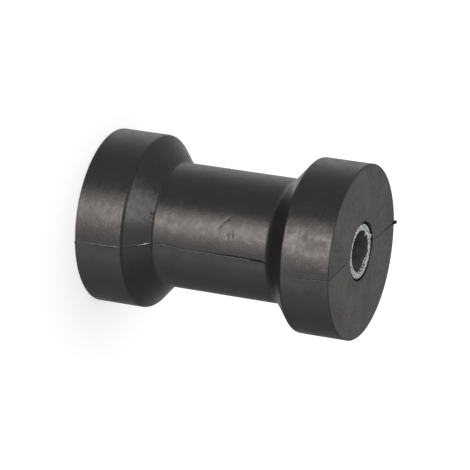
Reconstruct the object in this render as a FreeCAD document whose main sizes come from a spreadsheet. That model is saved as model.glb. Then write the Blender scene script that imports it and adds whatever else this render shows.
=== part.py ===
import FreeCAD, Part
import math
import os

import Sketcher

# Keel roller for a boat trailer: a waisted reel of black rubber moulded on a steel bush.
# It stands on one end, so its turning axis is +Z and the lower end face is Z = 0.
# The mould opened on the YZ plane, and a thin line of flash follows that plane.

# Driving dimensions in millimetres: name, value, what it measures
SIZES = [
    ("roller_length", "115.5", "between the two rubber end faces"),
    ("rim_diameter", "75", "over each rim, where the hull's side is guided"),
    ("rim_width", "21.7", "straight part of a rim, from its end face to the cone"),
    ("cone_length", "9.3", "along the axis, from the rim down to the barrel"),
    ("barrel_diameter", "53.6", "the waist that carries the keel"),
    ("crown_radius", "1.9", "rounding between a rim and its cone"),
    ("waist_radius", "1.3", "hollow rounding between a cone and the barrel"),
    ("bush_diameter", "23.4", "outside of the steel bush"),
    ("bore_diameter", "17.6", "inside of the steel bush, for the spindle"),
    ("bush_setback", "0.6", "depth of the bush's ends below the rubber"),
    ("bush_chamfer", "0.4", "at both mouths of the bore"),
    ("relief_width", "0.8", "ring of clear space in the rubber around a bush end"),
    ("edge_break", "0.4", "small bevel on the edges of the end faces"),
    ("flash_height", "0.3", "how far the mould line stands out"),
    ("flash_width", "0.5", "thickness of the mould line"),
]

# Places worked out from the driving dimensions: name, formula
PLACES = [
    ("rim_radius", "sizes.rim_diameter / 2"),
    ("barrel_radius", "sizes.barrel_diameter / 2"),
    ("bush_radius", "sizes.bush_diameter / 2"),
    ("bore_radius", "sizes.bore_diameter / 2"),
    ("relief_radius", "sizes.bush_diameter / 2 + sizes.relief_width"),
    ("bush_length", "sizes.roller_length - 2 * sizes.bush_setback"),
    ("low_crown", "sizes.rim_width"),
    ("low_waist", "sizes.rim_width + sizes.cone_length"),
    ("high_waist", "sizes.roller_length - sizes.rim_width - sizes.cone_length"),
    ("high_crown", "sizes.roller_length - sizes.rim_width"),
    ("high_bush_end", "sizes.roller_length - sizes.bush_setback"),
    ("cone_drop", "(sizes.rim_diameter - sizes.barrel_diameter) / 2"),
    ("cone_slant", "sqrt(sizes.cone_length ^ 2 + cone_drop ^ 2)"),
    ("flash_shift", "sizes.flash_height * (cone_slant - sizes.cone_length) / cone_drop"),
    ("flash_root", "(bush_radius + barrel_radius) / 2"),
    ("flash_rim", "rim_radius + sizes.flash_height"),
    ("flash_barrel", "barrel_radius + sizes.flash_height"),
    ("flash_low_crown", "low_crown + flash_shift"),
    ("flash_low_waist", "low_waist + flash_shift"),
    ("flash_high_waist", "high_waist - flash_shift"),
    ("flash_high_crown", "high_crown - flash_shift"),
    ("flash_crown_radius", "sizes.crown_radius + sizes.flash_height"),
    ("flash_waist_radius", "sizes.waist_radius - sizes.flash_height"),
]

FULL_TURN = 360
MOULD_LINES = 2
ORIGIN = -1
START, END, CENTRE = 1, 2, 3
SAME = 1e-6

doc = FreeCAD.newDocument("keel_roller")


# Sheets

def driving_sheet():
    sheet = doc.addObject("Spreadsheet::Sheet", "sizes")
    for row, (alias, value, note) in enumerate(SIZES, start=1):
        sheet.set(f"A{row}", alias)
        sheet.set(f"B{row}", value)
        sheet.set(f"C{row}", note)
        sheet.setAlias(f"B{row}", alias)
    doc.recompute()
    return sheet


def places_sheet():
    sheet = doc.addObject("Spreadsheet::Sheet", "places")
    for row, (alias, formula) in enumerate(PLACES, start=1):
        sheet.set(f"A{row}", alias)
        sheet.set(f"B{row}", "=" + formula)
        sheet.setAlias(f"B{row}", alias)
    doc.recompute()
    return sheet


def value_of(expression):
    """Present value of one cell, named as it is in an expression."""
    sheet_name, alias = expression.split(".")
    return float(doc.getObject(sheet_name).get(alias))


# Bodies and sketches

def new_body(label):
    body = doc.addObject("PartDesign::Body", label)
    body.Label = label
    body.Placement = FreeCAD.Placement()
    return body


def origin_feature(body, role):
    for feature in body.Origin.OriginFeatures:
        if feature.Role == role:
            return feature
    raise ValueError(role)


def new_sketch(body, name, role):
    sketch = body.newObject("Sketcher::SketchObject", name)
    sketch.AttachmentSupport = [(origin_feature(body, role), "")]
    sketch.MapMode = "FlatFace"
    return sketch


def bind(sketch, constraint, name, expression):
    """Add a named dimension and tie it to its cell."""
    index = sketch.addConstraint(constraint)
    sketch.renameConstraint(index, name)
    sketch.setExpression(f"Constraints.{name}", expression)


def unit(start, end):
    run = end - start
    return run / run.Length


def tangent_points(before, corner, after, radius):
    """Where an arc of this radius leaves the two sides of a corner, and its centre."""
    back = unit(corner, before)
    ahead = unit(corner, after)
    half_angle = math.acos(back.dot(ahead)) / 2
    reach = radius / math.tan(half_angle)
    bisector = unit(FreeCAD.Vector(), back + ahead)
    centre = corner + bisector * (radius / math.sin(half_angle))
    return corner + back * reach, corner + ahead * reach, centre


def draw_outline(sketch, corners):
    """Closed outline through named corners, each sharp or rounded by a tangent arc.

    A corner is (name, radius cell, height cell, rounding cell or None). The outline runs
    with the material on its left, and is dimensioned to the corners before rounding.
    """
    flat = FreeCAD.Vector(0, 0, 1)
    count = len(corners)
    points = []
    for _, across, up, _ in corners:
        height = value_of(up) if up else 0.0
        points.append(FreeCAD.Vector(value_of(across), height, 0))

    # Arcs at the rounded corners
    leaves, arrives, arcs = {}, {}, {}
    for i, (name, _, _, rounding) in enumerate(corners):
        leaves[i] = arrives[i] = points[i]
        if rounding is None:
            continue
        before, after = points[i - 1], points[(i + 1) % count]
        first, last, centre = tangent_points(before, points[i], after, value_of(rounding))
        arrives[i], leaves[i] = first, last
        left_turn = (points[i] - before).cross(after - points[i]).z > 0
        start, end = (first, last) if left_turn else (last, first)
        angles = [math.atan2(p.y - centre.y, p.x - centre.x) for p in (start, end)]
        if angles[1] < angles[0]:
            angles[1] += 2 * math.pi
        circle = Part.Circle(centre, flat, value_of(rounding))
        arc = sketch.addGeometry(Part.ArcOfCircle(circle, *angles), False)
        arcs[i] = (arc, START, END) if left_turn else (arc, END, START)
        bind(sketch, Sketcher.Constraint("Radius", arc, value_of(rounding)), name + "_round", rounding)

    # Straight sides between them
    sides = []
    for i in range(count):
        j = (i + 1) % count
        sides.append(sketch.addGeometry(Part.LineSegment(leaves[i], arrives[j]), False))

    # Joints between sides and arcs
    for i in range(count):
        side_in, side_out = sides[i - 1], sides[i]
        if i in arcs:
            arc, arc_in, arc_out = arcs[i]
            sketch.addConstraint(Sketcher.Constraint("Tangent", side_in, END, arc, arc_in))
            sketch.addConstraint(Sketcher.Constraint("Tangent", arc, arc_out, side_out, START))
        else:
            sketch.addConstraint(Sketcher.Constraint("Coincident", side_in, END, side_out, START))

    # Directions and dimensions of the sides
    for i in range(count):
        j = (i + 1) % count
        name, across, up, _ = corners[i]
        side = sides[i]
        if abs(points[i].x - points[j].x) < SAME:
            sketch.addConstraint(Sketcher.Constraint("Vertical", side))
            dimension = Sketcher.Constraint("DistanceX", ORIGIN, START, side, START, points[i].x)
            bind(sketch, dimension, name + "_radius", across)
        elif abs(points[i].y - points[j].y) < SAME:
            sketch.addConstraint(Sketcher.Constraint("Horizontal", side))
            if up:
                dimension = Sketcher.Constraint("DistanceY", ORIGIN, START, side, START, points[i].y)
                bind(sketch, dimension, name + "_height", up)
            else:
                sketch.addConstraint(Sketcher.Constraint("PointOnObject", side, START, ORIGIN))
        else:
            for k, beside in ((i, sides[i - 1]), (j, sides[j])):
                corner_name, _, corner_up, _ = corners[k]
                mark = sketch.addGeometry(Part.Point(points[k]), True)
                sketch.addConstraint(Sketcher.Constraint("PointOnObject", mark, START, side))
                sketch.addConstraint(Sketcher.Constraint("PointOnObject", mark, START, beside))
                dimension = Sketcher.Constraint("DistanceY", ORIGIN, START, mark, START, points[k].y)
                bind(sketch, dimension, corner_name + "_height", corner_up)


def ring_edges(feature, radius, heights):
    """Names of the circular edges of this radius at these heights, for a chamfer."""
    names = []
    for number, edge in enumerate(feature.Shape.Edges, start=1):
        if not isinstance(edge.Curve, Part.Circle) or abs(edge.Curve.Radius - radius) > SAME:
            continue
        if any(abs(edge.Curve.Center.z - height) < SAME for height in heights):
            names.append(f"Edge{number}")
    return names


# Rubber roller

def rubber_roller():
    body = new_body("rubber_roller")

    section = new_sketch(body, "reel_section", "YZ_Plane")
    draw_outline(section, [
        ("low_seat", "places.bush_radius", "sizes.bush_setback", None),
        ("low_relief", "places.relief_radius", "sizes.bush_setback", None),
        ("low_lip", "places.relief_radius", None, None),
        ("low_edge", "places.rim_radius", None, None),
        ("low_crown", "places.rim_radius", "places.low_crown", "sizes.crown_radius"),
        ("low_waist", "places.barrel_radius", "places.low_waist", "sizes.waist_radius"),
        ("high_waist", "places.barrel_radius", "places.high_waist", "sizes.waist_radius"),
        ("high_crown", "places.rim_radius", "places.high_crown", "sizes.crown_radius"),
        ("high_edge", "places.rim_radius", "sizes.roller_length", None),
        ("high_lip", "places.relief_radius", "sizes.roller_length", None),
        ("high_relief", "places.relief_radius", "places.high_bush_end", None),
        ("high_seat", "places.bush_radius", "places.high_bush_end", None),
    ])
    doc.recompute()

    reel = body.newObject("PartDesign::Revolution", "moulded_reel")
    reel.Profile = section
    reel.ReferenceAxis = (section, ["V_Axis"])
    reel.Angle = FULL_TURN
    doc.recompute()

    ends = (0.0, value_of("sizes.roller_length"))
    breaks = body.newObject("PartDesign::Chamfer", "end_face_edges")
    rim_edges = ring_edges(reel, value_of("places.rim_radius"), ends)
    breaks.Base = (reel, rim_edges + ring_edges(reel, value_of("places.relief_radius"), ends))
    breaks.setExpression("Size", "sizes.edge_break")
    doc.recompute()

    # Flash on one side of the mould, then on the other
    fin_outline = new_sketch(body, "flash_outline", "YZ_Plane")
    draw_outline(fin_outline, [
        ("low_root", "places.flash_root", None, None),
        ("low_edge", "places.flash_rim", None, None),
        ("low_crown", "places.flash_rim", "places.flash_low_crown", "places.flash_crown_radius"),
        ("low_waist", "places.flash_barrel", "places.flash_low_waist", "places.flash_waist_radius"),
        ("high_waist", "places.flash_barrel", "places.flash_high_waist", "places.flash_waist_radius"),
        ("high_crown", "places.flash_rim", "places.flash_high_crown", "places.flash_crown_radius"),
        ("high_edge", "places.flash_rim", "sizes.roller_length", None),
        ("high_root", "places.flash_root", "sizes.roller_length", None),
    ])
    doc.recompute()

    fin = body.newObject("PartDesign::Pad", "mould_flash")
    fin.Profile = fin_outline
    fin.SideType = "Symmetric"
    fin.setExpression("Length", "sizes.flash_width")
    doc.recompute()

    both_fins = body.newObject("PartDesign::PolarPattern", "both_mould_lines")
    both_fins.Originals = [fin]
    both_fins.Axis = (origin_feature(body, "Z_Axis"), [""])
    both_fins.Angle = FULL_TURN
    both_fins.Occurrences = MOULD_LINES
    body.Tip = both_fins
    doc.recompute()
    return body


# Steel bush

def steel_bush():
    body = new_body("steel_bush")

    ring = new_sketch(body, "tube_end", "XY_Plane")
    ring.setExpression("AttachmentOffset.Base.z", "sizes.bush_setback")
    for name, radius in (("outside", "places.bush_radius"), ("bore", "places.bore_radius")):
        circle = Part.Circle(FreeCAD.Vector(), FreeCAD.Vector(0, 0, 1), value_of(radius))
        edge = ring.addGeometry(circle, False)
        ring.addConstraint(Sketcher.Constraint("Coincident", edge, CENTRE, ORIGIN, START))
        bind(ring, Sketcher.Constraint("Radius", edge, value_of(radius)), name, radius)
    doc.recompute()

    tube = body.newObject("PartDesign::Pad", "cut_tube")
    tube.Profile = ring
    tube.setExpression("Length", "places.bush_length")
    doc.recompute()

    ends = (value_of("sizes.bush_setback"), value_of("places.high_bush_end"))
    mouths = body.newObject("PartDesign::Chamfer", "bore_mouths")
    mouths.Base = (tube, ring_edges(tube, value_of("places.bore_radius"), ends))
    mouths.setExpression("Size", "sizes.bush_chamfer")
    body.Tip = mouths
    doc.recompute()
    return body


# Checks and files

def check_document(bodies):
    for item in doc.Objects:
        bad = [state for state in item.State if state in ("Invalid", "Error")]
        if bad:
            raise RuntimeError(f"{item.Name}: {item.State}")
    for body in bodies:
        shape = body.Shape
        if shape.isNull() or not shape.isValid() or len(shape.Solids) != 1:
            raise RuntimeError(f"{body.Label}: not one valid solid")


def write_parts(bodies):
    os.makedirs("parts", exist_ok=True)
    for body in bodies:
        body.Shape.exportStep(os.path.join("parts", body.Label + ".step"))
        box = body.Shape.optimalBoundingBox(False)
        print(f"{body.Label}: volume {body.Shape.Volume:.1f} mm3, faces {len(body.Shape.Faces)},"
              f" box {box.XLength:.2f} x {box.YLength:.2f} x {box.ZLength:.2f} mm")


driving_sheet()
places_sheet()
bodies = [rubber_roller(), steel_bush()]
doc.recompute()
check_document(bodies)
write_parts(bodies)
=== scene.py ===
import math

import bpy
from mathutils import Matrix, Vector, noise


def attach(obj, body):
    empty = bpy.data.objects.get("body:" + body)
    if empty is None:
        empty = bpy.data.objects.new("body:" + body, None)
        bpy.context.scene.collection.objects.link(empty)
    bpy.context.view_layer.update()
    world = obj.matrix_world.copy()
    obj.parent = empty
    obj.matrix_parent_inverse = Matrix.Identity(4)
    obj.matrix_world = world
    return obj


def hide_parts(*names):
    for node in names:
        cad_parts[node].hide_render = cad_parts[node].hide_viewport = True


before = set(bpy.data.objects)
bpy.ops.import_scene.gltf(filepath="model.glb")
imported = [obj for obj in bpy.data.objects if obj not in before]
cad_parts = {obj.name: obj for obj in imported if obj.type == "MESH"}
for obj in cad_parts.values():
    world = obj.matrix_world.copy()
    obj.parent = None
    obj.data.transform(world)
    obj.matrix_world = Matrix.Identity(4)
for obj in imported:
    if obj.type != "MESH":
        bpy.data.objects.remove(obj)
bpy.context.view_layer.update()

# A keel roller stands on one end: black rubber moulded on a steel bush, turning axis +Z.
# Lengths are in millimetres until they reach a mesh or the camera, angles in degrees.
MM = 0.001

# Rubber reel
LENGTH = 115.5
RIM_RADIUS = 37.5
LOW_RIM_WIDTH = 21.6
HIGH_RIM_WIDTH = 21.8
CONE_LENGTH = 9.3
BARREL_RADIUS = 26.8
LOW_CROWN_ROUNDING = 2.2
HIGH_CROWN_ROUNDING = 1.5
LOW_WAIST_ROUNDING = 1.3
HIGH_WAIST_ROUNDING = 4.6
EDGE_ROUNDING = 0.4
# What lies inside the edge's rounding and this near to an end belongs to its face
FACE_REACH = 1.0
# Nothing of the lower end reaches below this height
FLOOR = -0.1

# Relief ring round each end of the bush. What lies within RELIEF_WALL is its floor or its wall.
RELIEF_RADIUS = 12.6
RELIEF_WALL = RELIEF_RADIUS + 0.01
RELIEF_DEPTH = 1.6
LIP_ROUNDING = 0.7

# Steel bush. What lies within BORE_WALL is the wall of its bore.
BUSH_RADIUS = 11.7
BUSH_SETBACK = 0.6
BUSH_BREAK = 0.3
BORE_RADIUS = 8.8
BORE_WALL = BORE_RADIUS + 0.02
BORE_BREAK = 0.12
MOUTH_DEPTH = 1.5
# The bush lies off the roller's axis by this x and y, and its bore off the centre of the bush.
# The rubber goes with the bush fully up to the first radius, and not at all from the second.
BUSH_SHIFT = (-0.45, -0.25)
BORE_SHIFT = (0.1, -0.2)
SHIFT_FADE = (RELIEF_RADIUS + 1, RELIEF_RADIUS + 6)
# In the same way the steel goes with its bore
WALL_FADE = (BORE_RADIUS + 0.3, BUSH_RADIUS - 0.3)

# One side of the bore's upper mouth is filed away: its azimuth, how far round from there the
# filing ends and how far it is full, its depth along the bore, and how steeply it widens the bore
FILED_SIDE = 25.0
FILED_WIDTH = (48.0, 18.0)
FILED_DEPTH = 1.1
FILED_SLOPE = 0.35
# The upper mouth is worn wider: azimuth of the side worn most, how far there, how far opposite
FLARE = (-128.0, 1.3, 0.2)
# Burrs on the upper cut end: azimuth, width, length (inward below 0)
INNER_BURR = (137.0, 4.0, -1.9)
OUTER_BURR = (106.0, 3.0, 0.9)
# They grow from this far below the end. The outer one lies outside this radius, and also rises
# by this share of its length.
BURR_DEPTH = 0.35
OUTER_EDGE = BUSH_RADIUS - BUSH_BREAK - 0.05
BURR_RISE = 0.6
# The cut is rough down to this far along the tube, and bright steel down to this far in the bore
CUT_DEPTH = 0.2
BRIGHT_DEPTH = 0.1

# Unevenness as seed, size and height: of the moulded faces (two sizes), of the mould line (height
# as a share of its own), of the cut end, of its inner side, and of the bore's radius at the mouth
SWELL = (3, 14.0, 0.03)
RIPPLE = (4, 4.0, 0.012)
LINE_WAVE = (7, 1.6, 0.6)
CUT_WAVE = (5, 0.9, 0.05)
MOUTH_WAVE = (6, 1.3, 0.07)
BORE_WAVE = (8, 1.1, 0.12)
# Each seed reads the noise this much further along
SEED_STRIDE = (17.3, 5.1, 29.7)

# The mould opened on the YZ plane. Its -X half sat a little towards the upper end.
HALF_STEP = 0.12
STEP_WIDTH = 0.05

# The line that it left runs along both sides, at these azimuths
FRONT, BACK = -90.0, 90.0
# On the front side, from end to end:
# height, how far it wanders to +X, how far it stands out (below 0: is torn in), half width
FRONT_LINE = (
    (0.0, -0.2, 0.50, 0.40),
    (1.6, -0.25, 0.05, 0.45),
    (7.0, -0.4, 0.09, 0.60),
    (14.0, -0.5, 0.13, 0.60),
    (19.0, -0.75, 0.13, 0.60),
    (21.5, -0.8, 0.05, 0.40),
    (25.0, -0.8, 0.08, 0.40),
    (27.0, -0.8, 0.28, 0.40),
    (28.8, -0.85, 0.55, 0.42),
    (30.2, -0.9, 0.32, 0.35),
    (31.5, -0.85, -0.05, 0.50),
    (36.5, -1.2, -0.08, 0.60),
    (40.0, -1.05, -0.08, 0.60),
    (44.0, -0.5, -0.08, 0.60),
    (49.0, -0.6, -0.06, 0.55),
    (52.5, -0.3, -0.08, 0.55),
    (56.5, -0.36, -0.10, 0.55),
    (60.0, -0.45, -0.19, 0.55),
    (71.0, -0.49, -0.22, 0.55),
    (79.0, -0.25, -0.28, 0.50),
    (80.5, -0.2, -0.45, 0.50),
    (82.6, 0.2, -0.22, 0.42),
    (84.0, 0.4, 0.0, 0.40),
    (94.5, 0.7, 0.0, 0.40),
    (96.5, 0.6, -0.04, 0.32),
    (103.0, 0.25, -0.06, 0.32),
    (110.0, -0.35, -0.05, 0.32),
    (115.5, -0.85, -0.11, 0.32),
)
# The same on the back
BACK_LINE = (
    (0.0, 0.0, 0.20, 0.40),
    (30.0, -0.2, 0.26, 0.50),
    (60.0, 0.2, 0.12, 0.40),
    (90.0, 0.1, 0.26, 0.40),
    (108.0, -0.3, 0.18, 0.40),
    (115.5, -0.6, 0.25, 0.40),
)
# The groove that it is on the end faces: how far it wanders to +X where it meets the relief ring,
# its depth there, its depth at the rim, half width
FRONT_GROOVE = (-1.5, 0.294, 0.294, 0.28)
BACK_GROOVE = (-0.75, 0.168, 0.336, 0.60)
# The columns of the mesh beside the line wander with it, less and less up to this far round
PULL_ENDS = 60.0

# A tag of rubber is left at the upper end of the back: how far it reaches out and up, its half
# width where it is full and where it is gone, and the radii and heights over which it grows
TAG_LENGTH = 1.1
TAG_RISE = 0.9
TAG_WIDTH = (0.6, 0.9)
TAG_RADII = (RIM_RADIUS - 2, RIM_RADIUS - 0.6)
TAG_HEIGHTS = (LENGTH - 2, LENGTH - 0.5)

# Finishes of the reel and of the bush, in the order of their materials
RUBBER, END_FACE, EDGE, TORN_AND_SHADE, FRAYED_HIGHLIGHT = range(5)
CUT, BORE = range(2)

# A groove's middle takes the darkest finish: partly torn skin, partly painted shade in the groove.
# It reaches to one side of its middle by this times its depth, to the other side twice as far, and
# never beyond this share of its half width
TORN_AND_SHADE_SHARE = 0.8
TORN_AND_SHADE_LIMIT = 0.9
# Patches along the line with a finish of their own: side, heights, least radius, from where to
# where beside the line's middle (towards +X on the front), finish. The pale ones paint the flake's
# highlight. The dark ones are partly torn skin and partly painted shade: under the flake, below
# the ridge on the lower rim, and on the nub and the tag.
PATCHES = (
    (FRONT, 26.5, 30.3, 0.0, -0.17, 0.0, FRAYED_HIGHLIGHT),
    (FRONT, 28.0, 29.4, 0.0, -0.36, 0.09, FRAYED_HIGHLIGHT),
    (FRONT, 26.5, 30.5, 0.0, 0.0, 0.5, TORN_AND_SHADE),
    (FRONT, 9.0, 19.5, 0.0, 0.16, 0.36, TORN_AND_SHADE),
    (FRONT, -1.0, 0.9, RIM_RADIUS - 0.5, -0.35, 0.35, TORN_AND_SHADE),
    (BACK, LENGTH - 1.6, LENGTH + 1.0, RIM_RADIUS - 1.8, -0.9, 0.9, TORN_AND_SHADE),
)

# Scars of handling: azimuth and height of both ends, depth, half width
SCARS = (
    (-113.0, 60.1, -118.5, 61.8, 0.09, 0.38),
    (-119.0, 62.2, -125.0, 64.6, 0.11, 0.42),
    (-111.5, 65.4, -106.0, 65.0, 0.18, 0.36),
    (-112.0, 66.9, -105.5, 67.2, 0.16, 0.36),
    (-117.2, 29.9, -115.4, 30.5, 0.27, 0.36),
    (-113.4, 29.7, -111.9, 30.4, 0.18, 0.32),
    (-84.5, 36.0, -84.9, 41.6, 0.14, 0.40),
)
# Along a scar its depth follows a half wave, from the first to the second of these shares of it
SCAR_WAVE = (0.15, 0.85)
# Nothing is left of a scar this far above or below it
SCAR_REACH = 2.0

# Mesh fineness along the outline: how near to the ends of a side its first and last points are,
# turn from point to point of an arc, and steps along the sides
SUPPORT = 0.12
ARC_STEP = math.radians(7)
FACE_STEP = 1.4
RIM_STEP = 0.7
BARREL_STEP = 0.5
TUBE_STEP = 8.0
CUT_STEP = 0.4
MOUTH_STEP = 0.2
# Mesh fineness round the axis: columns beside the mould line, the first one after them, and the
# steps between columns, finer in the sector of highlights and scars
NEAR_LINE = (0.08, 0.16, 0.25, 0.35, 0.48, 0.65, 0.9)
FIRST_COLUMN = 5.0
FINE_SECTOR = (-150.0, -60.0)
FINE_COLUMN = 0.75
COARSE_COLUMN = 2.4


# Helpers

def unit(vector):
    return vector / vector.length


def wrapped(azimuth):
    return (azimuth + 180) % 360 - 180


def smooth(low, high, value):
    """0 up to low, 1 from high on, smooth between."""
    t = min(1.0, max(0.0, (value - low) / (high - low)))
    return t * t * (3 - 2 * t)


def bell(centre, width, value):
    return math.exp(-((value - centre) / width) ** 2)


def crest(width, beside):
    """Rounded ridge: 1 in the middle, 0 and level at its half width."""
    return math.cos(math.pi / 2 * min(1.0, abs(beside) / width)) ** 2


def wander(wave, *place):
    """Smooth repeatable noise up to a wave's height, at a place in millimetres."""
    seed, size, height = wave
    offset = Vector([seed * stride for stride in SEED_STRIDE])
    return height * noise.noise(Vector(place) / size + offset)


def ring_place(radius, angle, height, shift, share):
    """Point at this radius and angle, moved by a share of a shift across the axis."""
    x = radius * math.cos(angle) + shift[0] * share
    y = radius * math.sin(angle) + shift[1] * share
    return Vector((x, y, height))


# Outlines and turned meshes

def rounded_outline(corners):
    """Points round a closed outline, with arcs at its rounded corners.

    A corner is (radius, height, rounding, step of the points on the side that leaves it).
    """
    count = len(corners)
    tips = [Vector(corner[:2]) for corner in corners]
    arrives, leaves, arcs = [], [], []
    for i, (_, _, rounding, _) in enumerate(corners):
        if rounding == 0:
            arrives.append(tips[i])
            leaves.append(tips[i])
            arcs.append([])
            continue
        back = unit(tips[i - 1] - tips[i])
        ahead = unit(tips[(i + 1) % count] - tips[i])
        half = back.angle(ahead) / 2
        reach = rounding / math.tan(half)
        arrives.append(tips[i] + back * reach)
        leaves.append(tips[i] + ahead * reach)
        centre = tips[i] + unit(back + ahead) * (rounding / math.sin(half))
        start, end = arrives[i] - centre, leaves[i] - centre
        turn = start.angle_signed(end)
        steps = max(2, round(abs(turn) / ARC_STEP))
        spins = [Matrix.Rotation(-turn * k / steps, 2) for k in range(1, steps)]
        arcs.append([centre + spin @ start for spin in spins] + [leaves[i]])

    outline = []
    for i in range(count):
        outline += [arrives[i]] + arcs[i]
        start, end = leaves[i], arrives[(i + 1) % count]
        run = (end - start).length
        if run < 3 * SUPPORT:  # too short for points between its ends
            continue
        steps = math.ceil((run - 2 * SUPPORT) / corners[i][3])
        for k in range(steps + 1):
            along = SUPPORT + (run - 2 * SUPPORT) * k / steps
            outline.append(start.lerp(end, along / run))
    return outline


def columns():
    """Columns of a turned mesh, as azimuth and distance beside it, close together at the line."""
    made = []
    beside = sorted([-t for t in NEAR_LINE] + [0.0] + list(NEAR_LINE))
    for line in (FRONT, BACK):
        made += [(line, t) for t in beside]
        azimuth = line + FIRST_COLUMN
        last = line + 180 - FIRST_COLUMN
        while azimuth < last:
            made.append((wrapped(azimuth), 0.0))
            fine = FINE_SECTOR[0] <= wrapped(azimuth) < FINE_SECTOR[1]
            azimuth += FINE_COLUMN if fine else COARSE_COLUMN
        made.append((wrapped(last), 0.0))
    return made


def turned_mesh(name, outline, place_of, finish_of):
    """Closed mesh turned round +Z.

    place_of(point, normal, azimuth, beside) gives the place of a vertex, and
    finish_of(radius, height, azimuth, beside) the material of the face that begins there.
    """
    sides = columns()
    rows, wide = len(outline), len(sides)
    vertices = []
    for i, point in enumerate(outline):
        tangent = unit(outline[(i + 1) % rows] - outline[i - 1])
        normal = Vector((tangent.y, -tangent.x))
        vertices += [place_of(point, normal, *side) * MM for side in sides]
    faces, finishes = [], []
    for i in range(rows):
        j = (i + 1) % rows
        middle = (outline[i] + outline[j]) / 2
        for k in range(wide):
            m = (k + 1) % wide
            faces.append((i * wide + k, i * wide + m, j * wide + m, j * wide + k))
            (azimuth, beside), (ahead, beyond) = sides[k], sides[m]
            if azimuth == ahead:
                beside = (beside + beyond) / 2
            finishes.append(finish_of(*middle, azimuth, beside))
    mesh = bpy.data.meshes.new(name)
    mesh.from_pydata(vertices, [], faces)
    for face, finish in zip(mesh.polygons, finishes):
        face.use_smooth = True
        face.material_index = finish
    piece = bpy.data.objects.new(name, mesh)
    bpy.context.scene.collection.objects.link(piece)
    return piece


# Rubber reel

def is_face(radius, height):
    """On an end face, or on the upper part of the relief ring's wall."""
    return radius < RIM_RADIUS - EDGE_ROUNDING and min(height, LENGTH - height) < FACE_REACH


def is_edge(radius, height):
    """On the rounding between a rim and an end face."""
    return radius > RIM_RADIUS - EDGE_ROUNDING and min(height, LENGTH - height) < EDGE_ROUNDING


def mould_line(side, radius, height):
    """Wander, stand and half width of the mould line at a place on it."""
    line = FRONT_LINE if side == FRONT else BACK_LINE
    for low, high in zip(line, line[1:]):
        if height <= high[0]:
            break
    share = smooth(low[0], high[0], height)
    shift, stand, width = [a + (b - a) * share for a, b in zip(low[1:], high[1:])]
    if is_face(radius, height):
        at_ring, deep, deep_at_rim, width = FRONT_GROOVE if side == FRONT else BACK_GROOVE
        outward = smooth(RELIEF_RADIUS, RIM_RADIUS, radius)
        shift = at_ring + (shift - at_ring) * outward
        stand = -(deep + (deep_at_rim - deep) * outward)
    return shift, stand, width


def scar_depth(azimuth, height):
    """Depth of the scars at a place on the barrel or the lower cone."""
    depth = 0.0
    for start, low, end, high, deep, width in SCARS:
        if not min(low, high) - SCAR_REACH < height < max(low, high) + SCAR_REACH:
            continue
        to_mm = math.radians(BARREL_RADIUS)
        run = Vector(((end - start) * to_mm, high - low))
        here = Vector(((azimuth - start) * to_mm, height - low))
        share = min(1.0, max(0.0, here.dot(run) / run.length_squared))
        taper = math.sin(math.pi * (SCAR_WAVE[0] + (SCAR_WAVE[1] - SCAR_WAVE[0]) * share))
        depth = max(depth, deep * taper * bell(0.0, width, (here - run * share).length))
    return depth


def reel_place(point, normal, azimuth, beside):
    radius, height = point
    side = FRONT if azimuth < 0 else BACK
    on_line = azimuth == side
    shift, stand, width = mould_line(side, radius, height)
    pull = 1 - smooth(FIRST_COLUMN, PULL_ENDS, abs(azimuth - side))
    to_east = 1 if side == FRONT else -1
    angle = math.radians(azimuth) + math.asin((beside + shift * pull * to_east) / radius)

    east = beside * to_east if on_line else math.cos(math.radians(azimuth))
    raised = 1 - smooth(-STEP_WIDTH, STEP_WIDTH, east)
    out, tag = 0.0, 0.0
    if radius > RELIEF_RADIUS + LIP_ROUNDING:
        place = (radius * math.cos(angle), radius * math.sin(angle), height)
        out = wander(SWELL, *place) + wander(RIPPLE, *place)
        if on_line:
            sway = 1 + wander(LINE_WAVE, height, radius, 0.0)
            out += stand * sway * crest(width, beside)
            if side == BACK and height > TAG_HEIGHTS[0]:
                tag = 1 - smooth(*TAG_WIDTH, abs(beside))
        if not is_face(radius, height):
            out -= scar_depth(azimuth, height)
    tag *= smooth(*TAG_RADII, radius)
    tag_out = TAG_LENGTH * tag * smooth(*TAG_HEIGHTS, height)
    up = height + normal.y * out + TAG_RISE * tag + HALF_STEP * (raised - 0.5)
    near_bush = 1 - smooth(*SHIFT_FADE, radius)
    return ring_place(
        radius + normal.x * out + tag_out, angle, max(up, FLOOR), BUSH_SHIFT, near_bush)


def reel_finish(radius, height, azimuth, beside):
    # The relief ring's floor and wall are painted in the darkest finish: painted shade in the
    # recess
    if radius < RELIEF_WALL:
        return TORN_AND_SHADE
    plain = RUBBER
    if is_face(radius, height):
        plain = END_FACE
    elif is_edge(radius, height):
        plain = EDGE
    if azimuth not in (FRONT, BACK):
        return plain
    for side, low, high, inside, near, far, finish in PATCHES:
        if side == azimuth and low < height < high and radius > inside and near < beside < far:
            return finish
    # A groove's middle takes the darkest finish: partly torn skin, partly painted shade
    _, stand, width = mould_line(azimuth, radius, height)
    torn_and_shade_reach, most = -TORN_AND_SHADE_SHARE * stand, TORN_AND_SHADE_LIMIT * width
    return TORN_AND_SHADE if -min(torn_and_shade_reach, most) < beside < min(2 * torn_and_shade_reach, most) else plain


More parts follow.
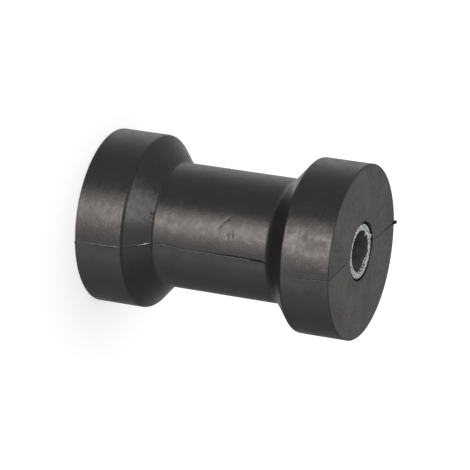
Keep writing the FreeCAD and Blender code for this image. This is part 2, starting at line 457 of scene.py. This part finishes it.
def rubber_reel():
    low_crown, low_waist = LOW_RIM_WIDTH, LOW_RIM_WIDTH + CONE_LENGTH
    high_crown = LENGTH - HIGH_RIM_WIDTH
    high_waist = high_crown - CONE_LENGTH
    outline = rounded_outline([
        (BUSH_RADIUS, RELIEF_DEPTH, 0.0, FACE_STEP),
        (RELIEF_RADIUS, RELIEF_DEPTH, 0.0, FACE_STEP),
        (RELIEF_RADIUS, 0.0, LIP_ROUNDING, FACE_STEP),
        (RIM_RADIUS, 0.0, EDGE_ROUNDING, RIM_STEP),
        (RIM_RADIUS, low_crown, LOW_CROWN_ROUNDING, RIM_STEP),
        (BARREL_RADIUS, low_waist, LOW_WAIST_ROUNDING, BARREL_STEP),
        (BARREL_RADIUS, high_waist, HIGH_WAIST_ROUNDING, RIM_STEP),
        (RIM_RADIUS, high_crown, HIGH_CROWN_ROUNDING, RIM_STEP),
        (RIM_RADIUS, LENGTH, EDGE_ROUNDING, FACE_STEP),
        (RELIEF_RADIUS, LENGTH, LIP_ROUNDING, FACE_STEP),
        (RELIEF_RADIUS, LENGTH - RELIEF_DEPTH, 0.0, FACE_STEP),
        (BUSH_RADIUS, LENGTH - RELIEF_DEPTH, 0.0, TUBE_STEP),
    ])
    return turned_mesh("rubber_reel", outline, reel_place, reel_finish)


# Steel bush

def burr(shape, azimuth):
    centre, width, length = shape
    return length * bell(0.0, width, wrapped(azimuth - centre))


def filed_depth(azimuth):
    return FILED_DEPTH * smooth(*FILED_WIDTH, abs(wrapped(azimuth - FILED_SIDE)))


def flare(azimuth):
    """How far the bore's upper mouth is worn wider, least at right angles to the worn side."""
    side, most, opposite = FLARE
    towards_side = math.cos(math.radians(azimuth - side))
    return ((most + opposite) * towards_side + most - opposite) * towards_side / 2


def bush_place(point, normal, azimuth, beside):
    radius, height = point
    angle = math.radians(azimuth) + math.asin(beside / radius)
    turned = math.degrees(angle)
    in_bore = 1 - smooth(*WALL_FADE, radius)
    from_end = min(height, LENGTH - height) - BUSH_SETBACK
    at_end = 1 - smooth(0.0, MOUTH_DEPTH, from_end)
    upper = height > LENGTH / 2
    rough, tick = 0.0, 0.0
    if at_end > 0:
        place = (radius * math.cos(angle), radius * math.sin(angle), height)
        rough = wander(CUT_WAVE, *place) + in_bore * wander(MOUTH_WAVE, *place)
        radius += in_bore * at_end * wander(BORE_WAVE, *place)
        at_edge = 1 - smooth(0.0, BURR_DEPTH, from_end)
        if upper:
            radius += in_bore * at_end * flare(turned)
        if upper and in_bore == 1:
            radius += FILED_SLOPE * max(0.0, filed_depth(turned) - from_end)
            radius += burr(INNER_BURR, turned) * at_edge
        elif upper and radius > OUTER_EDGE:
            tick = burr(OUTER_BURR, turned) * at_edge
    moved = ring_place(radius + tick, angle, height + BURR_RISE * tick, BUSH_SHIFT, 1.0)
    moved.x += BORE_SHIFT[0] * in_bore
    moved.y += BORE_SHIFT[1] * in_bore
    if from_end < CUT_DEPTH:
        moved.z += math.copysign(rough, height - LENGTH / 2)
    return moved


def bush_finish(radius, height, azimuth, beside):
    from_end = LENGTH - BUSH_SETBACK - height
    bright = max(BRIGHT_DEPTH, filed_depth(azimuth) - BRIGHT_DEPTH)
    return BORE if radius < BORE_WALL and from_end > bright else CUT


def steel_tube():
    low, high = BUSH_SETBACK, LENGTH - BUSH_SETBACK
    outline = rounded_outline([
        (BORE_RADIUS, low, BORE_BREAK, CUT_STEP),
        (BUSH_RADIUS, low, BUSH_BREAK, MOUTH_STEP),
        (BUSH_RADIUS, low + MOUTH_DEPTH, 0.0, TUBE_STEP),
        (BUSH_RADIUS, high - MOUTH_DEPTH, 0.0, MOUTH_STEP),
        (BUSH_RADIUS, high, BUSH_BREAK, CUT_STEP),
        (BORE_RADIUS, high, BORE_BREAK, MOUTH_STEP),
        (BORE_RADIUS, high - MOUTH_DEPTH, 0.0, TUBE_STEP),
        (BORE_RADIUS, low + MOUTH_DEPTH, 0.0, MOUTH_STEP),
    ])
    return turned_mesh("steel_tube", outline, bush_place, bush_finish)


# Nodes

def link(tree, source, node, socket):
    tree.links.new(source, node.inputs[socket])


def new_surface(name):
    """Material with a plain shader in an empty tree: material, tree and shader."""
    material = bpy.data.materials.new(name)
    material.use_nodes = True
    tree = material.node_tree
    tree.nodes.clear()
    output = tree.nodes.new("ShaderNodeOutputMaterial")
    shader = tree.nodes.new("ShaderNodeBsdfPrincipled")
    link(tree, shader.outputs[0], output, "Surface")
    return material, tree, shader


def object_place(tree):
    return tree.nodes.new("ShaderNodeTexCoord").outputs["Object"]


def height_of(tree, place):
    apart = tree.nodes.new("ShaderNodeSeparateXYZ")
    link(tree, place, apart, 0)
    return apart.outputs["Z"]


def math_node(tree, operation, *values):
    node = tree.nodes.new("ShaderNodeMath")
    node.operation = operation
    for i, value in enumerate(values):
        if isinstance(value, bpy.types.NodeSocket):
            tree.links.new(value, node.inputs[i])
        else:
            node.inputs[i].default_value = value
    return node.outputs[0]


def grain(tree, place, scale, detail, rough):
    """Noise with this many features to the metre."""
    node = tree.nodes.new("ShaderNodeTexNoise")
    link(tree, place, node, "Vector")
    node.inputs["Scale"].default_value = scale
    node.inputs["Detail"].default_value = detail
    node.inputs["Roughness"].default_value = rough
    return node.outputs["Fac"]


def spread(tree, value, low, high, contrast):
    """The part of a noise's range that the contrast gives, stretched to low..high."""
    node = tree.nodes.new("ShaderNodeMapRange")
    link(tree, value, node, "Value")
    node.inputs["From Min"].default_value = contrast[0]
    node.inputs["From Max"].default_value = contrast[1]
    node.inputs["To Min"].default_value = low
    node.inputs["To Max"].default_value = high
    return node.outputs["Result"]


def ramp(tree, value, low, high):
    """0 below low, 1 above high, smooth between."""
    node = tree.nodes.new("ShaderNodeMapRange")
    node.interpolation_type = "SMOOTHSTEP"
    link(tree, value, node, "Value")
    node.inputs["From Min"].default_value = low
    node.inputs["From Max"].default_value = high
    return node.outputs["Result"]


def blend(tree, share, first, second):
    """Colour from first to second by share."""
    node = tree.nodes.new("ShaderNodeMix")
    node.data_type = "RGBA"
    link(tree, share, node, 0)
    for socket, colour in ((6, first), (7, second)):
        if isinstance(colour, bpy.types.NodeSocket):
            tree.links.new(colour, node.inputs[socket])
        else:
            node.inputs[socket].default_value = (*colour, 1.0)
    return node.outputs[2]


def roughen(tree, shader, layers):
    """Bump layers of (height, strength, depth in millimetres) under the shader."""
    under = None
    for height, strength, depth in layers:
        node = tree.nodes.new("ShaderNodeBump")
        node.inputs["Strength"].default_value = strength
        node.inputs["Distance"].default_value = depth * MM
        link(tree, height, node, "Height")
        if under:
            link(tree, under, node, "Normal")
        under = node.outputs[0]
    link(tree, under, shader, "Normal")


# Materials

WHITE = (1.0, 1.0, 1.0)

# Colours, darkest and lightest
RUBBER_COLOURS = ((0.0110, 0.0106, 0.0101), (0.0168, 0.0159, 0.0152))
FACE_COLOURS = ((0.0075, 0.0088, 0.008), (0.040, 0.034, 0.031))
SCUFFED_COLOURS = ((0.010, 0.0095, 0.009), (0.021, 0.020, 0.019))
# Torn rubber: partly torn skin, partly painted shade in grooves, in the relief recess, under the
# flake and on the tag
TORN_AND_SHADE_COLOURS = ((0.004, 0.004, 0.004), (0.012, 0.012, 0.012))
# Frayed flash: a pale rubber that paints the flake's highlight
FRAYED_HIGHLIGHT_COLOURS = ((0.25, 0.25, 0.24), (0.55, 0.55, 0.53))
STEEL_COLOURS = ((0.06, 0.065, 0.065), (0.88, 0.92, 0.92))
STAIN_COLOURS = ((0.058, 0.066, 0.062), (0.12, 0.134, 0.126))

# Grains: features to the metre, detail and roughness of the noise
RUBBER_MOTTLE = (330.0, 3.0, 0.6)
RUBBER_CLOUD = (90.0, 3.0, 0.6)
RUBBER_SMEAR = (170.0, 3.0, 0.7)
RUBBER_PORES = (1000.0, 1.0, 0.5)
FACE_CLOUD = (85.0, 5.0, 0.72)
FACE_PORES = (800.0, 2.0, 0.6)
SCUFFS = (500.0, 3.0, 0.6)
CRUMBS = (1400.0, 3.0, 0.7)
STEEL_SPECKS = (1200.0, 4.0, 0.75)
STAINS = (300.0, 4.0, 0.6)

# Contrast: the part of a noise's range that is stretched over the whole of a scale
SOFT, CLEAR, SHARP = (0.3, 0.7), (0.36, 0.64), (0.38, 0.62)

# Roughness where a grain is low and where it is high
RUBBER_ROUGHNESS = (0.23, 0.35)
FACE_ROUGHNESS = (0.30, 0.48)
RUBBER_IOR = 1.5
# The upper rim is smeared: from what height on (none, all of it), and how much rougher or smoother
WORN_FROM = (0.091, 0.095)
SMEAR = 0.08

# Bump, as strength and depth
MOTTLE_BUMP = (1.0, 0.055)
PORE_BUMP = (0.7, 0.04)
FACE_BUMP = (1.0, 0.09)


def rubber_material():
    material, tree, shader = new_surface("moulded_rubber")
    place = object_place(tree)
    mottle = grain(tree, place, *RUBBER_MOTTLE)
    cloud = grain(tree, place, *RUBBER_CLOUD)
    pores = grain(tree, place, *RUBBER_PORES)
    colour = blend(tree, spread(tree, cloud, 0.0, 1.0, SOFT), *RUBBER_COLOURS)
    link(tree, colour, shader, "Base Color")
    worn = ramp(tree, height_of(tree, place), *WORN_FROM)
    smear = spread(tree, grain(tree, place, *RUBBER_SMEAR), -SMEAR, SMEAR, CLEAR)
    plain = spread(tree, mottle, *RUBBER_ROUGHNESS, SOFT)
    link(tree, math_node(tree, "MULTIPLY_ADD", worn, smear, plain), shader, "Roughness")
    shader.inputs["IOR"].default_value = RUBBER_IOR
    roughen(tree, shader, ((mottle, *MOTTLE_BUMP), (pores, *PORE_BUMP)))
    return material


def end_face_material():
    """The same rubber off a duller part of the mould, cloudy with wear."""
    material, tree, shader = new_surface("end_face_rubber")
    place = object_place(tree)
    cloud = grain(tree, place, *FACE_CLOUD)
    pores = grain(tree, place, *FACE_PORES)
    colour = blend(tree, spread(tree, cloud, 0.0, 1.0, CLEAR), *FACE_COLOURS)
    link(tree, colour, shader, "Base Color")
    link(tree, spread(tree, pores, *FACE_ROUGHNESS, SOFT), shader, "Roughness")
    shader.inputs["IOR"].default_value = RUBBER_IOR
    roughen(tree, shader, ((pores, *FACE_BUMP),))
    return material


def one_grain_material(
        name, grain_size, colours, roughness, bump, contrast=SOFT, specular=0.5, metallic=0.0):
    """Material whose colour, roughness and bump all follow one grain."""
    material, tree, shader = new_surface(name)
    value = grain(tree, object_place(tree), *grain_size)
    colour = blend(tree, spread(tree, value, 0.0, 1.0, contrast), *colours)
    link(tree, colour, shader, "Base Color")
    link(tree, spread(tree, value, *roughness, SOFT), shader, "Roughness")
    shader.inputs["Specular IOR Level"].default_value = specular
    shader.inputs["Metallic"].default_value = metallic
    roughen(tree, shader, ((value, *bump),))
    return material


def scuffed_rubber():
    """The same rubber, scuffed dull along the edge of an end face."""
    return one_grain_material(
        "scuffed_edge", SCUFFS, SCUFFED_COLOURS, roughness=(0.50, 0.65), bump=(0.6, 0.05),
        specular=0.45)


def rough_rubber(name, colours):
    """Rough rubber where the skin is torn off, in the colours given: the dark one also paints
    shade, the pale one paints a highlight.
    """
    return one_grain_material(
        name, CRUMBS, colours, roughness=(0.75, 0.95), bump=(0.6, 0.05), specular=0.2)


def reel_materials():
    return {
        RUBBER: rubber_material(),
        END_FACE: end_face_material(),
        EDGE: scuffed_rubber(),
        TORN_AND_SHADE: rough_rubber("torn_rubber_and_painted_shade", TORN_AND_SHADE_COLOURS),
        FRAYED_HIGHLIGHT: rough_rubber("frayed_rubber_painted_highlight", FRAYED_HIGHLIGHT_COLOURS),
    }


def bush_materials():
    return {
        CUT: one_grain_material(
            "cut_steel", STEEL_SPECKS, STEEL_COLOURS, roughness=(0.4, 0.6), bump=(0.8, 0.12),
            contrast=SHARP, metallic=1.0),
        BORE: one_grain_material(
            "dark_bore", STAINS, STAIN_COLOURS, roughness=(0.6, 0.8), bump=(0.4, 0.1)),
    }


# Studio: what surrounds the object. All azimuths but the camera's own are measured from it.

CAMERA_AZIMUTH = -112.5
CAMERA_ELEVATION = 22.175
CAMERA_ROLL = -98.767
CAMERA_DISTANCE = 1294.5
CAMERA_AIM = (0.76, -0.40, 57.606)
CAMERA_LENS = 233.035
SENSOR = 36.0

# Soft boxes that face the object: name, azimuth, elevation, distance, width and height in metres,
# level, tint
WARM = (1.0, 0.90, 0.865)
NEUTRAL = (0.885, 0.870, 0.865)
SOFT_BOXES = (
    ("soft_box", -1.0, -18.5, 2.4, 2.5, 0.74, 3.05, WARM),
    ("soft_box_middle", 1.0, -18.5, 2.35, 1.2, 0.72, 5.15, WARM),
    ("soft_box_side", -46.0, -20.5, 2.4, 1.5, 0.74, 0.5, WARM),
    ("overhead_box", 90.0, 80.5, 1.5, 1.50, 0.72, 4.0, NEUTRAL),
)
PLAIN_LIGHT = (0.6, 0.6, 0.6, 1.0)

# Gloss shows the white surroundings only where no grey card or dark wall dims them: tables of
# (azimuth, share of the white that is left). The cards are a little warm.
CARD_TINT = (1.0, 0.98, 0.94)
HIGH_SHADE = (
    (-180, 0.50), (-165, 0.36), (-145, 0.25), (-100, 0.30), (-60, 0.35), (-10, 0.35), (12, 0.85),
    (30, 0.85), (50, 0.40), (120, 0.48), (180, 0.50),
)
LOW_SHADE = (
    (-180, 0.15), (-173, 0.45), (-163, 0.28), (-145, 0.20), (-120, 0.29), (-92, 0.52),
    (-78, 0.85), (-62, 1.0), (-40, 1.0), (-34, 0.80), (-26, 0.50), (-15, 0.40), (30, 0.45),
    (45, 0.42), (85, 0.42), (105, 0.56), (125, 0.84), (145, 0.80), (158, 0.50), (168, 0.60),
    (175, 0.36), (180, 0.12),
)
DEEP_SHADE = (
    (-180, 0.15), (-173, 0.45), (-163, 0.30), (-145, 0.20), (0, 0.30), (140, 0.80), (158, 0.95),
    (166, 1.0), (173, 0.70), (180, 0.15),
)
UNDERNEATH_SHADE = (0.05, 0.05, 0.05)
# Overhead it goes by how far a place lies to the camera's side (sine of the angle)
OVERHEAD_SHADE = (
    (-1.0, 0.3), (-0.60, 0.60), (-0.45, 1.0), (-0.30, 1.0), (-0.18, 0.75), (0.0, 0.5), (1.0, 0.45),
)
# Heights (sine of the elevation) between which each table fades in over the one below it
DEEP_FROM = (-0.84, -0.72)
LOW_FROM = (-0.60, -0.46)
HIGH_FROM = (-0.15, 0.02)
OVERHEAD_FROM = (0.76, 0.86)

# Floor, in metres: its glow by the object fades into plain white further out
FLOOR_SIZE = 16.0
FLOOR_FADE = (0.12, 0.6)
FLOOR_GLOW = (0.58, 0.58, 0.58)
FLOOR_COLOUR = (0.5, 0.5, 0.5, 1.0)


def shade(tree, turn, stops, low, high):
    """Grey from a table of stops on a scale from low to high."""
    node = tree.nodes.new("ShaderNodeValToRGB")
    elements = node.color_ramp.elements
    while len(elements) > 1:
        elements.remove(elements[-1])
    for i, (at, level) in enumerate(stops):
        position = (at - low) / (high - low)
        element = elements[0] if i == 0 else elements.new(position)
        element.position = position
        element.color = (*(level * share for share in CARD_TINT), 1.0)
    link(tree, turn, node, "Fac")
    return node.outputs["Color"]


def towards(azimuth, elevation=0.0):
    """Unit vector in this direction."""
    turn, rise = math.radians(azimuth), math.radians(elevation)
    way = Vector((math.cos(turn), math.sin(turn), 0.0)) * math.cos(rise)
    way.z = math.sin(rise)
    return way


def soft_boxes():
    for name, azimuth, elevation, distance, width, height, level, tint in SOFT_BOXES:
        lamp = bpy.data.lights.new(name, "AREA")
        lamp.shape = "RECTANGLE"
        lamp.size, lamp.size_y = width, height
        lamp.energy = level * math.pi * width * height
        lamp.color = tint
        box = bpy.data.objects.new(name, lamp)
        box.visible_camera = False
        bpy.context.scene.collection.objects.link(box)
        out = towards(CAMERA_AZIMUTH - azimuth, elevation)
        place = Vector(CAMERA_AIM) * MM + out * distance
        turn = out.to_track_quat("Z", "Y").to_matrix().to_4x4()
        box.matrix_world = Matrix.Translation(place) @ turn


def component(tree, direction, axis):
    """How far a direction points along an axis."""
    dot = tree.nodes.new("ShaderNodeVectorMath")
    dot.operation = "DOT_PRODUCT"
    link(tree, direction, dot, 0)
    dot.inputs[1].default_value = axis
    return dot.outputs["Value"]


def surroundings():
    """White to the camera, and in gloss and through glass. Other rays find a plain light."""
    world = bpy.data.worlds.new("studio")
    bpy.context.scene.world = world
    world.use_nodes = True
    tree = world.node_tree
    tree.nodes.clear()
    direction = tree.nodes.new("ShaderNodeTexCoord").outputs["Generated"]
    front = component(tree, direction, towards(CAMERA_AZIMUTH))
    side = component(tree, direction, towards(CAMERA_AZIMUTH - 90))
    height = height_of(tree, direction)

    # Azimuth and side as 0 to 1, for the tables
    azimuth = math_node(tree, "ARCTAN2", side, front)
    turn = math_node(tree, "MULTIPLY_ADD", azimuth, 1 / (2 * math.pi), 0.5)
    aside = math_node(tree, "MULTIPLY_ADD", side, 0.5, 0.5)
    left = UNDERNEATH_SHADE
    for heights, level in (
        (DEEP_FROM, shade(tree, turn, DEEP_SHADE, -180, 180)),
        (LOW_FROM, shade(tree, turn, LOW_SHADE, -180, 180)),
        (HIGH_FROM, shade(tree, turn, HIGH_SHADE, -180, 180)),
        (OVERHEAD_FROM, shade(tree, aside, OVERHEAD_SHADE, -1, 1)),
    ):
        left = blend(tree, ramp(tree, height, *heights), left, level)

    path = tree.nodes.new("ShaderNodeLightPath")
    camera_ray, through_ray = path.outputs["Is Camera Ray"], path.outputs["Is Transmission Ray"]
    glossy = path.outputs["Is Glossy Ray"]
    seen = math_node(tree, "MAXIMUM", camera_ray, through_ray)
    seen = math_node(tree, "MAXIMUM", seen, glossy)
    plain = tree.nodes.new("ShaderNodeBackground")
    plain.inputs["Color"].default_value = PLAIN_LIGHT
    white = tree.nodes.new("ShaderNodeBackground")
    link(tree, blend(tree, glossy, WHITE, left), white, "Color")
    mix = tree.nodes.new("ShaderNodeMixShader")
    link(tree, seen, mix, 0)
    link(tree, plain.outputs[0], mix, 1)
    link(tree, white.outputs[0], mix, 2)
    output = tree.nodes.new("ShaderNodeOutputWorld")
    link(tree, mix.outputs[0], output, "Surface")


def pale_floor():
    """White to the camera with a soft shadow. It doesn't stand in the way of the light."""
    mesh = bpy.data.meshes.new("floor")
    size = FLOOR_SIZE / 2
    corners = [(-size, -size, 0), (size, -size, 0), (size, size, 0), (-size, size, 0)]
    mesh.from_pydata(corners, [], [(0, 1, 2, 3)])
    floor = bpy.data.objects.new("floor", mesh)
    floor.location.z = FLOOR * MM
    bpy.context.scene.collection.objects.link(floor)
    material, tree, shader = new_surface("pale_floor")
    away = tree.nodes.new("ShaderNodeVectorMath")
    away.operation = "LENGTH"
    link(tree, object_place(tree), away, 0)
    glow = blend(tree, ramp(tree, away.outputs["Value"], *FLOOR_FADE), FLOOR_GLOW, WHITE)
    link(tree, glow, shader, "Emission Color")
    shader.inputs["Emission Strength"].default_value = 1.0
    shader.inputs["Base Color"].default_value = FLOOR_COLOUR
    shader.inputs["Roughness"].default_value = 1.0
    shader.inputs["Specular IOR Level"].default_value = 0.0
    mesh.materials.append(material)
    floor.visible_diffuse = False
    floor.visible_glossy = False
    floor.visible_transmission = False
    floor.visible_shadow = False


def camera():
    data = bpy.data.cameras.new("camera")
    data.lens = CAMERA_LENS
    data.sensor_width = SENSOR
    eye = bpy.data.objects.new("camera", data)
    bpy.context.scene.collection.objects.link(eye)
    back = towards(CAMERA_AZIMUTH, CAMERA_ELEVATION)
    place = (Vector(CAMERA_AIM) + back * CAMERA_DISTANCE) * MM
    upright = back.to_track_quat("Z", "Y").to_matrix().to_4x4()
    roll = Matrix.Rotation(math.radians(-CAMERA_ROLL), 4, "Z")
    eye.matrix_world = Matrix.Translation(place) @ upright @ roll
    bpy.context.scene.camera = eye


# The object and its scene

def dress(piece, materials, node):
    for finish in sorted(materials):
        piece.data.materials.append(materials[finish])
    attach(piece, "root")
    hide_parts(node)


dress(rubber_reel(), reel_materials(), "rubber_roller")
dress(steel_tube(), bush_materials(), "steel_bush")
surroundings()
soft_boxes()
pale_floor()
camera()
bpy.context.scene.view_settings.view_transform = "Standard"
